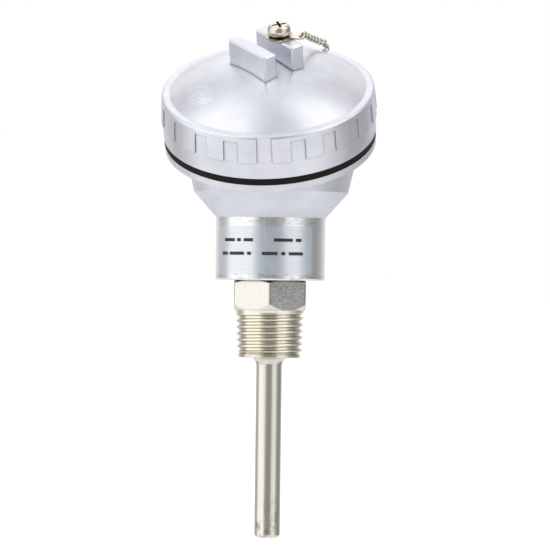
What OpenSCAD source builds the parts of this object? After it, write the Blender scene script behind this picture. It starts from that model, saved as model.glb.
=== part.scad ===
// Resistance thermometer with a screw-cap connection head: a sheathed sensing
// tube, a hexagon nipple with a tapered thread, and a cast head whose cap leans
// forward from the probe's axis.
//
// Frame: the origin is on the probe's axis, at the underside of the hexagon.
// +Z runs up the probe's axis, the cap leans towards -Y and the cable leaves
// at +Y. All sizes are in millimetres.

/* [Sensing tube] */
// Outer diameter of the tube
tube_d = 8; // [5:0.5:9]
// Thickness of the tube's wall
tube_wall = 0.75; // [0.5:0.05:1.2]
// Insertion length, from the underside of the hexagon to the tip
probe_len = 70; // [45:1:150]
// Step down to the part of the tube that stands in the fitting
tube_shoulder = 0.2; // [0.05:0.05:0.4]
// Radius of the tip's rounded edge
tip_round = 1.2; // [0.4:0.1:2]
// Thickness of the tip's floor
tip_floor = 1.5; // [1:0.1:3]

/* [Process fitting] */
// Width of the hexagon across its flats
hex_af = 22; // [21.5:0.5:26]
// Height of the hexagon
hex_h = 9.2; // [6:0.1:14]
// Width of the chamfers on the hexagon's corners
hex_chamfer = 1.6; // [0.4:0.1:2]
// Slope of the chamfer at the hexagon's top
hex_top_slope = 30; // [15:1:45]
// Slope of the chamfer at the hexagon's foot
hex_foot_slope = 50; // [15:1:55]
// Turn of the hexagon's corner from the front
hex_turn = 6; // [-30:1:30]
// Diameter over the thread's crests, next to the hexagon
thread_d = 21.2; // [18:0.1:21.4]
// Length of the tapered thread
thread_len = 13.3; // [8:0.1:20]
// Length in which the thread's diameter falls by 1
thread_taper = 16; // [12:1:30]
// Diameter of the plain collar below the thread
collar_d = 19.2; // [14:0.1:19.5]
// Length of the plain collar
collar_len = 1.3; // [0.5:0.1:4]
// Diameter of the weld nose where it meets the collar
nose_d = 12; // [10.5:0.1:13.5]
// Length of the weld nose
nose_len = 2; // [0.8:0.1:4]
// Outer diameter of the stub that screws into the neck
stub_d = 20; // [16:0.5:22]
// Length of the stub
stub_len = 13; // [6:0.5:16]

/* [Neck and bowl] */
// Outer diameter of the neck
neck_d = 33.6; // [28:0.2:38]
// Height of the neck
neck_len = 19.2; // [16.5:0.1:30]
// Width of the chamfer at the neck's foot
neck_edge = 0.5; // [0.2:0.1:1]
// Height of the cone between the neck and the bowl
cone_h = 7.8; // [5:0.1:12]
// Outer diameter of the bowl at its lower corner
bowl_d = 47.4; // [44:0.2:52]
// Outward slope of the bowl's wall
bowl_draft = 13; // [6:0.5:15]
// Inner diameter of the bowl
chamber_d = 41; // [38:0.5:42]
// Thickness of the bowl's floor below its lower corner
floor_drop = 1.2; // [0.4:0.1:2]
// Diameter of the wire passage through the bowl's floor
passage_d = 12; // [9:0.5:14]

/* [Head] */
// Lean of the cap from the probe's axis, towards the front
head_tilt = 30; // [24:1:33]
// Height, above the bowl's lower corner, where the two axes cross
pivot_rise = 8.6; // [7:0.1:12]
// Distance along the cap's axis from that crossing to the flange
flange_rise = 7.8; // [6.5:0.1:10]
// Radial set-back of the flange's edge from the cap's pads
flange_inset = 0.65; // [0.2:0.05:2]
// Thickness of the flange
flange_t = 2.25; // [1.5:0.05:4]
// Radial set-back of the bowl's back wall from the flange's edge
shell_setback = 2; // [1:0.1:3]
// Height of the spigot above the flange
spigot_len = 9; // [7:0.1:10]
// Thickness of the spigot's wall
spigot_wall = 3; // [2:0.1:3.5]

/* [Cap seal] */
// Radial set-back of the rubber ring's edge from the cap's pads
seal_inset = 0.55; // [0.2:0.05:2]
// Thickness of the rubber ring
seal_t = 2.2; // [1:0.1:3.5]

/* [Cap] */
// Outer diameter of the cap over its raised pads
cap_d = 65.9; // [64:0.1:72]
// Thickness of the cap's wall round its thread
cap_wall_t = 3.4; // [2.6:0.1:5]
// Height of the cap from its lower edge to its rim
cap_h = 13.7; // [12:0.1:18]
// Inward lean of the cap's wall between the skirt and the rim
cap_lean = 0.5; // [0:0.05:1]
// Height of the raised pads above the gaps' floor
pad_step = 0.45; // [0.2:0.05:0.8]
// Height of the plain skirt below the pads
skirt_h = 5.35; // [3:0.05:7]
// Height of the plain band above the gaps
band_h = 1.9; // [1.8:0.1:3]
// Number of pads round the cap
pad_count = 20; // [12:1:28]
// Share of each pitch that the pad takes
pad_share = 0.55; // [0.4:0.01:0.7]
// Turn of the open gap from the front
pad_turn = 3.4; // [-9:0.1:9]
// Radius of the cap's outer rim edge
rim_round = 0.9; // [0.5:0.1:1.7]
// Width of the flat ring inside the rim edge
ring_w = 1.7; // [0.8:0.1:4]
// Rise of the dome above the rim
dome_rise = 9; // [6:0.1:12]
// Thickness of the dome
dome_wall = 2.6; // [1.8:0.1:3.2]
// Lead of the cap's thread
cap_pitch = 2; // [1:0.25:3]

/* [Lugs] */
// Length of each lug
lug_len = 18; // [12:0.1:22]
// Thickness of each lug
lug_t = 4.6; // [4:0.1:6]
// Clear gap between the lugs
lug_gap = 5.8; // [4:0.1:9]
// Height of the lugs' tops above the rim
lug_top = 15.9; // [12:0.1:18]
// Turn of the lugs about the cap's axis
lug_turn = -46.8; // [-90:0.1:90]
// Bevel on the lugs' edges
lug_bevel = 0.5; // [0.2:0.05:1]
// Place of the chain screw along its lug, from the lug's middle
lug_screw_at = 0; // [-4:0.1:3]

/* [Chain] */
// Thickness of the chain's wire
wire_d = 0.55; // [0.4:0.05:0.7]
// Outer length of one link
link_len = 3.4; // [3:0.1:4.5]
// Outer width of one link
link_w = 2.3; // [2:0.1:2.8]
// Play at each joint between two links
link_play = 0.14; // [0.08:0.02:0.3]
// Outer radius of the eyelets
eyelet_r = 4.2; // [3.8:0.1:5]
// Thickness of the eyelets
eyelet_t = 0.5; // [0.3:0.05:0.8]
// Width of each eyelet's tongue
tongue_w = 2.6; // [2.2:0.1:3.5]
// Distance from the eyelet's screw to the hole in its tongue
tongue_reach = 6.6; // [6:0.1:9]
// Direction of the upper tongue about the cap's axis
tongue_turn = -10; // [-30:1:20]
// Direction of the lower tongue, from straight down
tongue_drop = 40; // [10:1:60]

/* [Chain screws] */
// Thread diameter of the chain screws
screw_d = 3; // [2.5:0.1:3.4]
// Diameter of the screw heads
screw_head_d = 7.1; // [5.5:0.1:7.6]
// Height of the screw heads
screw_head_h = 3.5; // [2:0.1:4]
// Length of the screws below the head
screw_len = 6; // [4:0.5:6.5]
// Diameter of the boss under the lower chain screw
anchor_boss_d = 9; // [8:0.5:9.5]
// Sideways place of the lower chain screw
anchor_x = 8.5; // [6:0.5:10]
// Height of the lower chain screw above the cable entry
anchor_rise = 16.5; // [16:0.5:18]
// Height of the boss's face above the bowl's back wall
anchor_proud = 5; // [3.5:0.1:7]

/* [Cable entry] */
// Height of the cable entry above the bowl's lower corner
entry_rise = 8.3; // [8:0.1:9.5]
// Outer diameter of the cable entry's boss
entry_d = 22; // [20:0.5:22]
// Distance of the boss's face from the probe's axis
entry_y = 34; // [32:0.5:40]
// Diameter of the threaded bore in the boss
entry_bore_d = 16; // [14:0.5:17]
// Depth of the threaded bore
entry_depth = 10.5; // [9:0.1:11]
// Lead of the gland nut's thread
gland_pitch = 1.5; // [1:0.25:2]
// Diameter of the hole that the cable passes through
cable_hole_d = 8; // [5:0.5:9]
// Thickness of the rubber grommet
grommet_t = 4.5; // [3:0.1:5]
// Thickness of the gland's washer
gland_washer_t = 1; // [0.6:0.1:1.5]
// Width of the gland nut across its flats
gland_af = 20; // [18:0.5:21]
// Height of the gland nut's hexagon
gland_head_h = 7; // [5:0.1:9]
// Width of the chamfer on the gland nut's corners
gland_chamfer = 1.1; // [0.4:0.1:1.5]

/* [Terminals] */
// Diameter of the terminal block
block_d = 36; // [32:0.5:37]
// Thickness of the terminal block
block_t = 5; // [4:0.1:7]
// Height of the walls between the terminals
barrier_h = 2.4; // [1.5:0.1:3]
// Diameter of the block's centre hole
block_hole_d = 7; // [6:0.1:8]
// Width of each brass strip
strip_w = 5.6; // [5:0.1:6]
// Thickness of each brass strip
strip_t = 1.2; // [0.8:0.1:1.6]
// Distance from the axis to the middle of each strip
strip_at = 11; // [10.8:0.1:11.2]
// Distance between the two screws of one strip
strip_screw_gap = 5.8; // [5.4:0.1:6]
// Thread diameter of the terminal screws
terminal_screw_d = 2.5; // [2:0.1:3]
// Head diameter of the terminal screws
terminal_head_d = 4.6; // [4:0.1:5]
// Distance of each block screw from the axis
block_screw_at = 14; // [13:0.1:14.2]

/* [Sensor] */
// Thickness of the lead wires over their insulation
lead_d = 0.9; // [0.6:0.1:1]
// Distance of the lead wires from the probe's axis
lead_at = 1.5; // [1.3:0.1:1.7]
// Length of one ceramic bead
bead_len = 8; // [5:0.5:12]
// Diameter of the ceramic element
element_d = 4.5; // [3:0.1:5]
// Length of the ceramic element
element_len = 15; // [8:1:20]

/* [Label] */
// Width of the label round the neck, as an angle
label_span = 114; // [60:1:140]
// Turn of the label's middle from the front
label_turn = -2.6; // [-30:0.1:30]
// Height of the label
label_h = 14.7; // [8:0.1:15]
// Distance of the label's middle below the neck's middle
label_drop = 0.6; // [-2:0.1:2]
// Thickness of the label's film
label_t = 0.15; // [0.1:0.05:0.3]

/* [Fits] */
// Radial clearance of a running or screwed fit
run_gap = 0.05; // [0.02:0.01:0.1]
// Clearance between pieces that only lie side by side
seat_gap = 0.3; // [0.2:0.05:0.4]

/* [Hidden] */
$fn = 64;
// Overlap of a cutter past the face that it opens
past = 1;
// Thickness of a hair's breadth
skin = 0.01;
// Fineness of large and of slender round shapes
fine = 128;
slender = 24;

// Heights on the probe's axis
neck_z = hex_h;
neck_top_z = neck_z + neck_len;
bowl_z = neck_top_z + cone_h;
floor_z = bowl_z - floor_drop;
pivot_z = bowl_z + pivot_rise;
stub_top_z = neck_z + stub_len;

// Distances along the cap's axis, from the crossing of the two axes
flange_top = flange_rise + flange_t;
cap_foot = flange_top + seal_t + skin;
cap_rim = cap_foot + cap_h;
lug_top_at = cap_rim + lug_top;
spigot_top = flange_top + spigot_len;

// Radii
neck_r = neck_d / 2;
bowl_r = bowl_d / 2;
chamber_r = chamber_d / 2;
cap_r = cap_d / 2;
cap_bore_r = cap_r - cap_wall_t;
spigot_r = cap_bore_r - run_gap;
spigot_bore_r = spigot_r - spigot_wall;
flange_r = cap_r - flange_inset;
seal_r = cap_r - seal_inset;
rim_r = cap_r - cap_lean;
skirt_r = cap_r - pad_step;
shell_r = flange_r - shell_setback;
tube_r = tube_d / 2;
tube_seat_r = tube_r - tube_shoulder;
nipple_bore_r = tube_seat_r + run_gap;
thread_end_d = thread_d - thread_len / thread_taper;

// The cap's dome is part of a sphere
dome_foot_r = rim_r - rim_round - ring_w;
dome_r = (dome_foot_r ^ 2 + dome_rise ^ 2) / (2 * dome_rise);
dome_centre = cap_rim + dome_rise - dome_r;

// The lugs stand side by side across this spacing
lug_pitch = lug_gap + lug_t;

// Cable entry, along +Y
entry_z = bowl_z + entry_rise;
entry_floor_y = entry_y - entry_depth;
entry_bore_r = entry_bore_d / 2;
washer_y = entry_floor_y + grommet_t;
nut_foot_y = washer_y + gland_washer_t;

// The bowl's back wall: its distance from the probe's axis plane at a place
function back_wall(x, z) =
    sqrt(shell_r ^ 2 - x ^ 2) / cos(head_tilt) - (z - pivot_z) * tan(head_tilt);
anchor_z = entry_z + anchor_rise;
anchor_y = back_wall(anchor_x, anchor_z) + anchor_proud;

// Terminal block, on the bowl's floor
block_top_z = floor_z + block_t;
strip_top_z = block_top_z + strip_t;
strip_len = strip_screw_gap + strip_w;
strip_turns = [90, 222, 318];
block_screw_turns = [0, 180];

// Sensor column inside the tube
nose_z = -thread_len - collar_len - nose_len;
tube_bore_r = tube_r - tube_wall;
tube_top_z = stub_top_z;
element_z = -probe_len + tip_floor + seat_gap;
element_top_z = element_z + element_len;
bead_r = tube_bore_r - seat_gap;
bead_pitch = bead_len + seat_gap;
bead_count = floor((tube_top_z - element_top_z - seat_gap) / bead_pitch);
lead_bore_r = lead_d / 2 + seat_gap / 2;

// Chain screws: the length of thread that its hole takes, and the hole's depth
screw_r = screw_d / 2;
screw_hole_depth = screw_len - eyelet_t + seat_gap;

// The chain's links
link_bend_r = (link_w - wire_d) / 2;
link_straight = link_len - link_w;
link_pitch = link_len - 2 * wire_d - link_play;
tongue_hole_r = wire_d / 2 + seat_gap;

// ---------------------------------------------------------------- frames

// Moves its children into the cap's frame: +Z along the cap's axis
module cap_frame() {
    translate([0, 0, pivot_z]) rotate([head_tilt, 0, 0]) children();
}

// A point of the cap's frame, in the part's frame
function from_cap(p) = [
    p[0],
    p[1] * cos(head_tilt) - p[2] * sin(head_tilt),
    pivot_z + p[1] * sin(head_tilt) + p[2] * cos(head_tilt)
];

// Moves its children to the chain's upper screw, on top of the rear lug
module upper_screw_frame() {
    cap_frame() translate(upper_screw_at) children();
}
upper_screw_at = [
    -lug_pitch / 2 * sin(lug_turn) + lug_screw_at * cos(lug_turn),
    lug_pitch / 2 * cos(lug_turn) + lug_screw_at * sin(lug_turn),
    lug_top_at
];

// Moves its children to the chain's lower screw, whose axis runs along +Y
module lower_screw_frame() {
    translate([anchor_x, anchor_y, anchor_z]) rotate([-90, 0, 0]) children();
}

// Moves its children to the cable entry, whose axis runs along +Y
module entry_frame(y) {
    translate([0, y, entry_z]) rotate([-90, 0, 0]) children();
}

// ---------------------------------------------------------------- shapes

// A ring of rectangular section
module ring(outer_r, inner_r, height) {
    difference() {
        cylinder(r = outer_r, h = height);
        translate([0, 0, -past]) cylinder(r = inner_r, h = height + 2 * past);
    }
}

// A part of a ring, from one angle round to another
module sector(outer_r, inner_r, height, from, span) {
    rotate([0, 0, from]) rotate_extrude(angle = span)
        translate([inner_r, 0]) square([outer_r - inner_r, height]);
}

// A hexagon whose corners are chamfered at both ends, each at its own slope
module hexagon(af, height, chamfer, foot_slope, top_slope) {
    corner_r = af / 2 / cos(30);
    intersection() {
        cylinder(r = corner_r, h = height, $fn = 6);
        rotate_extrude() polygon([
            [0, -past],
            [corner_r - chamfer - past / tan(foot_slope), -past],
            [corner_r + past, (chamfer + past) * tan(foot_slope)],
            [corner_r + past, height - (chamfer + past) * tan(top_slope)],
            [corner_r - chamfer - past / tan(top_slope), height + past],
            [0, height + past]
        ]);
    }
}

// A block with its edges bevelled, standing on z = 0, bevelled above only
module bevelled_block(length, width, height, bevel) {
    translate([-length / 2, -width / 2, 0]) hull() {
        translate([bevel, 0, 0]) cube([length - 2 * bevel, width, height - bevel]);
        translate([0, bevel, 0]) cube([length, width - 2 * bevel, height - bevel]);
        translate([bevel, bevel, 0])
            cube([length - 2 * bevel, width - 2 * bevel, height]);
    }
}

// A round-headed screw with a crossed recess, its head standing on z = 0
module cross_screw(thread_r, head_r, head_h, length) {
    // Share of the head's radius on which it stands, and the end of its round side
    foot_share = 0.62;
    side_end = 80;
    recess_w = head_r * 0.24;
    recess_l = head_r * 1.2;
    recess_depth = head_h * 0.42;
    difference() {
        union() {
            rotate_extrude() polygon(concat(
                [[0, head_h], [0, 0]],
                [for (a = [-side_end:side_end / 5:side_end]) [
                    head_r * (foot_share + (1 - foot_share) * cos(a)),
                    head_h / 2 * (1 + sin(a) / sin(side_end))
                ]]
            ));
            translate([0, 0, -length]) cylinder(r = thread_r, h = length + past);
        }
        for (turn = [20, 110]) rotate([0, 0, turn])
            translate([-recess_l / 2, -recess_w / 2, head_h - recess_depth])
                cube([recess_l, recess_w, recess_depth + past]);
    }
}

// A cheese-headed screw with a slot, its head standing on z = 0
module slot_screw(thread_r, head_r, head_h, length, turn) {
    slot_w = head_r * 0.32;
    difference() {
        union() {
            cylinder(r = head_r, h = head_h);
            translate([0, 0, -length]) cylinder(r = thread_r, h = length + head_h / 2);
        }
        rotate([0, 0, turn]) translate([-head_r - past, -slot_w / 2, head_h / 2])
            cube([2 * (head_r + past), slot_w, head_h]);
    }
}

// A ring eyelet with a tongue along +X, lying on z = 0
module eyelet(turn) {
    rotate([0, 0, turn]) difference() {
        linear_extrude(eyelet_t) difference() {
            union() {
                circle(r = eyelet_r);
                translate([0, -tongue_w / 2]) square([tongue_reach, tongue_w]);
                translate([tongue_reach, 0]) circle(d = tongue_w);
            }
            circle(r = screw_r + seat_gap);
            translate([tongue_reach, 0]) circle(r = tongue_hole_r);
        }
    }
}

// ---------------------------------------------------------------- housing

// The cast head: neck, cone, bowl, flange, spigot, cable entry and chain boss
module housing() {
    color("silver") difference() {
        union() {
            translate([0, 0, neck_z])
                cylinder(r1 = neck_r - neck_edge, r2 = neck_r, h = neck_edge);
            translate([0, 0, neck_z + neck_edge])
                cylinder(r = neck_r, h = neck_len - neck_edge);
            translate([0, 0, neck_top_z]) cylinder(r1 = neck_r, r2 = bowl_r, h = cone_h);
            bowl_wall();
            cap_frame() translate([0, 0, flange_rise])
                cylinder(r = flange_r, h = flange_t);
            spigot();
            entry_frame(0) cylinder(d = entry_d, h = entry_y);
            translate([anchor_x, 0, anchor_z]) rotate([-90, 0, 0])
                cylinder(d = anchor_boss_d, h = anchor_y);
        }
        // Bore for the nipple's stub, and the passage for the wires
        translate([0, 0, neck_z - past])
            cylinder(r = stub_d / 2 + run_gap, h = stub_len + seat_gap + past);
        translate([0, 0, neck_z]) cylinder(d = passage_d, h = floor_z - neck_z + past);
        chamber();
        // Mouth of the spigot
        cap_frame() translate([0, 0, flange_top])
            cylinder(r = spigot_bore_r, h = spigot_len + past);
        // Threaded bore of the cable entry, and its way into the chamber
        entry_frame(entry_floor_y) cylinder(r = entry_bore_r, h = entry_depth + past);
        entry_frame(0) cylinder(d = cable_hole_d, h = entry_y);
        // Hole of the lower chain screw
        lower_screw_frame() translate([0, 0, -screw_hole_depth])
            cylinder(r = screw_r + run_gap, h = screw_hole_depth + past);
        // Holes of the terminal block's screws
        for (turn = block_screw_turns) rotate([0, 0, turn])
            translate([block_screw_at, 0, floor_z - block_screw_bite - seat_gap])
                cylinder(r = screw_r + run_gap, h = block_screw_bite + block_t);
    }
}
// Length of a block screw's thread in the housing, and the size of its head
block_screw_bite = 4;
block_head_r = 2.7;
block_head_h = 1.8;

// The spigot: its end is chamfered by half the lead of the cap's thread
module spigot() {
    lead_in = cap_pitch / 2;
    cap_frame() translate([0, 0, flange_rise]) {
        cylinder(r = spigot_r, h = spigot_top - flange_rise - lead_in);
        cylinder(r = spigot_r - lead_in, h = spigot_top - flange_rise);
        translate([0, 0, spigot_top - flange_rise - lead_in])
            cylinder(r1 = spigot_r, r2 = spigot_r - lead_in, h = lead_in);
    }
}

// The bowl: it widens upwards and stays inside the flange's edge
module bowl_wall() {
    bowl_h = flange_r + pivot_rise;
    reach = 3 * flange_r;
    intersection() {
        translate([0, 0, bowl_z])
            cylinder(r1 = bowl_r, r2 = bowl_r + bowl_h * tan(bowl_draft), h = bowl_h);
        cap_frame() translate([0, 0, flange_top - reach])
            cylinder(r = shell_r, h = reach - flange_t / 2);
    }
}

// Step between the spigot's bore and the chamber below it
chamber_step = 0.5;

// The space inside the bowl, which opens into the spigot
module chamber() {
    reach = 3 * flange_r;
    intersection() {
        translate([0, 0, floor_z]) cylinder(r = chamber_r, h = 2 * flange_r);
        cap_frame() translate([0, 0, flange_top - reach])
            cylinder(r = spigot_bore_r - chamber_step, h = reach + past);
    }
}

// ---------------------------------------------------------------- cap

// The screw cap: castellated wall, domed top and two lugs
module cap() {
    color("silver") cap_frame() difference() {
        union() {
            cap_wall();
            // Dome
            intersection() {
                translate([0, 0, dome_centre]) sphere(r = dome_r, $fn = fine);
                translate([0, 0, cap_foot + skirt_h])
                    cylinder(r = dome_foot_r + past, h = cap_h + dome_rise);
            }
            lugs();
        }
        // Thread bore, under the inner face of the dome
        intersection() {
            translate([0, 0, cap_foot - past]) cylinder(r = cap_bore_r, h = cap_h + dome_rise);
            translate([0, 0, dome_centre]) sphere(r = dome_r - dome_wall, $fn = fine);
        }
        // Hole of the upper chain screw
        translate(upper_screw_at) translate([0, 0, -screw_hole_depth])
            cylinder(r = screw_r + run_gap, h = screw_hole_depth + past);
    }
}

// Heights of the pads' feet, and of the foot of the band that joins their tops
pad_foot = cap_foot + skirt_h;
band_foot = cap_rim - band_h;
// Step of the gaps' floor above the skirt
gap_rise = 0.05;
// Radius of the gaps' floor at a height: it leans inwards as the pads do
function gap_floor(h) = skirt_r + gap_rise - cap_lean * (h - pad_foot) / (cap_rim - pad_foot);

// The cap's wall, with gaps cut between the pads; one gap opens at the rim
module cap_wall() {
    pitch = 360 / pad_count;
    gap_span = pitch * (1 - pad_share);
    gap_foot = pad_foot - past;
    difference() {
        rotate_extrude($fn = fine) polygon(concat(
            [[0, cap_foot], [skirt_r, cap_foot], [skirt_r, pad_foot], [cap_r, pad_foot]],
            [for (a = [0:15:90]) [
                rim_r - rim_round * (1 - cos(a)),
                cap_rim - rim_round * (1 - sin(a))
            ]],
            [[0, cap_rim]]
        ));
        for (i = [0:pad_count - 1]) {
            gap_top = i == 0 ? cap_rim + past : band_foot;
            rotate([0, 0, pad_turn - 90 + i * pitch - gap_span / 2])
                rotate_extrude(angle = gap_span, $fn = fine) polygon([
                    [gap_floor(gap_foot), gap_foot],
                    [cap_r + past, gap_foot],
                    [cap_r + past, gap_top],
                    [gap_floor(gap_top), gap_top]
                ]);
        }
    }
}

// Two parallel lugs, through which a bar turns the cap
module lugs() {
    lug_foot = dome_centre + dome_r - dome_wall;
    for (side = [-1, 1]) rotate([0, 0, lug_turn])
        translate([0, side * lug_pitch / 2, lug_foot])
            bevelled_block(lug_len, lug_t, lug_top_at - lug_foot, lug_bevel);
}

// The rubber ring between the flange and the cap
module cap_seal() {
    color("#181818") cap_frame() translate([0, 0, flange_top])
        ring(seal_r, spigot_r + seat_gap, seal_t);
}

// ---------------------------------------------------------------- chain

module cap_screw() {
    color("#c8c0a8") upper_screw_frame() translate([0, 0, eyelet_t])
        cross_screw(screw_r, screw_head_d / 2, screw_head_h, screw_len);
}

module cap_eyelet() {
    color("#c8c0a8") upper_screw_frame() eyelet(tongue_turn);
}

module anchor_screw() {
    color("#c8c0a8") lower_screw_frame() translate([0, 0, eyelet_t])
        cross_screw(screw_r, screw_head_d / 2, screw_head_h, screw_len);
}

module anchor_eyelet() {
    color("#c8c0a8") lower_screw_frame() eyelet(90 - tongue_drop);
}

// Sides of the chain's wire
wire_sides = 16;

// One link of round wire, its length along +X and its width along +Y
module link() {
    for (end = [0, 180]) rotate([0, 0, end]) {
        translate([link_straight / 2, 0, 0]) rotate([0, 0, -90])
            rotate_extrude(angle = 180, $fn = slender)
                translate([link_bend_r, 0]) circle(d = wire_d, $fn = wire_sides);
        translate([-link_straight / 2, link_bend_r, 0]) rotate([0, 90, 0])
            cylinder(d = wire_d, h = link_straight, $fn = wire_sides);
    }
}

// Middles of the holes in the two tongues
upper_hole = from_cap(upper_screw_at + [
    tongue_reach * cos(tongue_turn), tongue_reach * sin(tongue_turn), eyelet_t / 2
]);
lower_hole = [
    anchor_x + tongue_reach * sin(tongue_drop),
    anchor_y + eyelet_t / 2,
    anchor_z - tongue_reach * cos(tongue_drop)
];
// Clearance of the chain's middle line from the surfaces that it passes
chain_off = link_w / 2 + seat_gap;
// Sideways place at which the chain crosses the rim, as an angle round the cap
chain_side = 63.5;
// A point beside the cap's wall, at a distance along the cap's axis
function beside_cap(h, off) = from_cap([
    (cap_r + off) * cos(chain_side), (cap_r + off) * sin(chain_side), h
]);
foot_point = beside_cap(cap_foot, chain_off);
// The slack loop: the length that hangs below the lower tongue, the radius of
// its foot, and the direction in which it opens
slack = 5;
loop_r = 4.2;
loop_turn = -38;
loop_way = [cos(loop_turn), sin(loop_turn), 0];
loop_centre = lower_hole + loop_r * loop_way - [0, 0, slack];
function loop_point(a) = loop_centre + loop_r * (cos(a) * loop_way - [0, 0, sin(a)]);
// Distance by which the chain's line starts beyond a hole, so that the end
// link's wire stands in the middle of the hole
grip = (link_len - wire_d - link_pitch) / 2;
function past_hole(hole, toward) = hole + grip * unit(toward - hole);
// The chain rises from the upper tongue, drawn aside by a share of its width, and
// then spans the dome to the rim, a little above the straight line near its end
rise_point = upper_hole + [0.3 * link_w, link_len, link_w / 2];
rim_point = beside_cap(cap_rim + chain_off, -rim_round);
span_rise = 0.25;
function span_point(share) = rise_point + share * (rim_point - rise_point);
chain_points = [
    past_hole(upper_hole, rise_point),
    rise_point,
    span_point(1 / 3),
    span_point(3 / 4) + [0, 0, span_rise],
    beside_cap(cap_rim - rim_round, chain_off),
    foot_point,
    loop_point(0) + [-link_w, 0, 2 * slack],
    loop_point(0),
    loop_point(45),
    loop_point(90),
    loop_point(135),
    loop_point(180),
    past_hole(lower_hole, loop_point(180))
];
function unit(v) = v / norm(v);

// A smooth curve through a list of points
function bend(a, b, c, d, t) = 0.5 * (
    2 * b + (c - a) * t + (2 * a - 5 * b + 4 * c - d) * t ^ 2
    + (3 * b - a - 3 * c + d) * t ^ 3
);
function on_curve(pts, u) =
    let (
        last = len(pts) - 1,
        i = min(floor(u), last - 1),
        before = i == 0 ? 2 * pts[0] - pts[1] : pts[i - 1],
        after = i == last - 1 ? 2 * pts[last] - pts[last - 1] : pts[i + 2]
    )
    bend(before, pts[i], pts[i + 1], after, u - i);
// Arc length against curve parameter, for places at even spacing
curve_step = 0.02;
chain_table = [
    for (
        u = 0, s = 0, p = chain_points[0];
        u <= len(chain_points) - 1;
        u = u + curve_step,
        q = on_curve(chain_points, min(u, len(chain_points) - 1)),
        s = s + norm(q - p),
        p = q
    ) [s, u]
];
chain_len = chain_table[len(chain_table) - 1][0];
// An odd number of links, so that the first and last both straddle their tongue
link_count = 2 * ceil((chain_len / link_pitch - 1) / 2) + 1;
link_step = chain_len / link_count;
function chain_at(s) = on_curve(chain_points, lookup(s, chain_table));
function link_way(i) = unit(chain_at((i + 1) * link_step) - chain_at(i * link_step));
function square_to(v, x) = unit(v - (v * x) * x);

// Direction and plane of each link, carried along the chain without twist
upper_normal = from_cap([0, 0, 1]) - from_cap([0, 0, 0]);
lower_normal = [0, 1, 0];
carried = [
    for (
        i = 0, x = link_way(0), n = square_to(upper_normal, x);
        i < link_count;
        i = i + 1, x = link_way(min(i, link_count - 1)), n = square_to(n, x)
    ) [x, n]
];
// The twist that brings the last link square to its tongue, shared by all links
end_way = carried[link_count - 1][0];
end_normal = carried[link_count - 1][1];
end_aim = square_to(lower_normal, end_way);
end_turn = atan2(cross(end_normal, end_aim) * end_way, end_normal * end_aim);
end_twist = end_turn - 180 * round(end_turn / 180);

// The chain: its first and last links pass through the tongues, square to them,
// and each link between stands square to the next
module chain() {
    color("#b8b0a0") for (i = [0:link_count - 1]) {
        x = carried[i][0];
        n = carried[i][1];
        twist = end_twist * i / (link_count - 1);
        y = cos(twist) * n + sin(twist) * cross(x, n);
        z = cross(x, y);
        here = chain_at((i + 0.5) * link_step);
        multmatrix([
            [x[0], y[0], z[0], here[0]],
            [x[1], y[1], z[1], here[1]],
            [x[2], y[2], z[2], here[2]]
        ])
            rotate([i % 2 * 90, 0, 0]) link();
    }
}

// ---------------------------------------------------------------- cable entry

// The hexagon nut that presses the grommet onto the cable
module gland_nut() {
    nut_bite = entry_y - nut_foot_y;
    shank_r = entry_bore_r - run_gap;
    lead_in = gland_pitch / 2;
    color("silver") entry_frame(nut_foot_y) difference() {
        union() {
            cylinder(r1 = shank_r - lead_in, r2 = shank_r, h = lead_in);
            translate([0, 0, lead_in])
                cylinder(r = shank_r, h = nut_bite + seat_gap + past - lead_in);
            translate([0, 0, nut_bite + seat_gap])
                hexagon(gland_af, gland_head_h, gland_chamfer, 30, 30);
        }
        translate([0, 0, -past])
            cylinder(d = cable_hole_d, h = nut_bite + gland_head_h + 3 * past);
    }
}

module gland_washer() {
    color("lightgray") entry_frame(washer_y)
        ring(entry_bore_r - seat_gap, cable_hole_d / 2, gland_washer_t);
}

module gland_grommet() {
    color("#202020") entry_frame(entry_floor_y)
        ring(entry_bore_r - seat_gap, cable_hole_d / 2 - seat_gap, grommet_t);
}

// ---------------------------------------------------------------- terminals

// The moulded block: a disc with walls between its terminals
module terminal_block() {
    collar_r = block_hole_d / 2 + 1;
    color("#e8e4d8") difference() {
        union() {
            translate([0, 0, floor_z]) cylinder(d = block_d, h = block_t);
            translate([0, 0, block_top_z - skin]) cylinder(r = collar_r, h = barrier_h + skin);
            for (turn = strip_turns) rotate([0, 0, turn]) for (side = [-1, 1])
                translate([
                    collar_r - skin,
                    side * (strip_w / 2 + seat_gap + barrier_t / 2) - barrier_t / 2,
                    block_top_z - skin
                ])
                    cube([block_d / 2 - collar_r - barrier_inset, barrier_t, barrier_h + skin]);
        }
        translate([0, 0, floor_z - past]) cylinder(d = block_hole_d, h = block_t + barrier_h + 2 * past);
        // Ways for the leads through the collar
        for (turn = strip_turns) rotate([0, 0, turn])
            translate([0, -lead_bore_r, block_top_z])
                cube([collar_r + past / 2, 2 * lead_bore_r, barrier_h + past]);
        terminal_places() translate([0, 0, -terminal_bite - seat_gap])
            cylinder(r = terminal_screw_d / 2 + run_gap, h = terminal_bite + block_t);
        for (turn = block_screw_turns) rotate([0, 0, turn])
            translate([block_screw_at, 0, floor_z - past])
                cylinder(r = screw_r + seat_gap, h = block_t + 2 * past);
    }
}
// Thickness of the block's walls, and their distance from its edge
barrier_t = 1.2;
barrier_inset = 1;
// Length of a terminal screw's thread in the block, and the height of its head
terminal_bite = 3;
terminal_head_h = 1.8;

// Places its children on the block's top at each terminal screw
module terminal_places() {
    for (turn = strip_turns) rotate([0, 0, turn]) for (side = [-1, 1])
        translate([strip_at + side * strip_screw_gap / 2, 0, block_top_z]) children();
}

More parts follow.
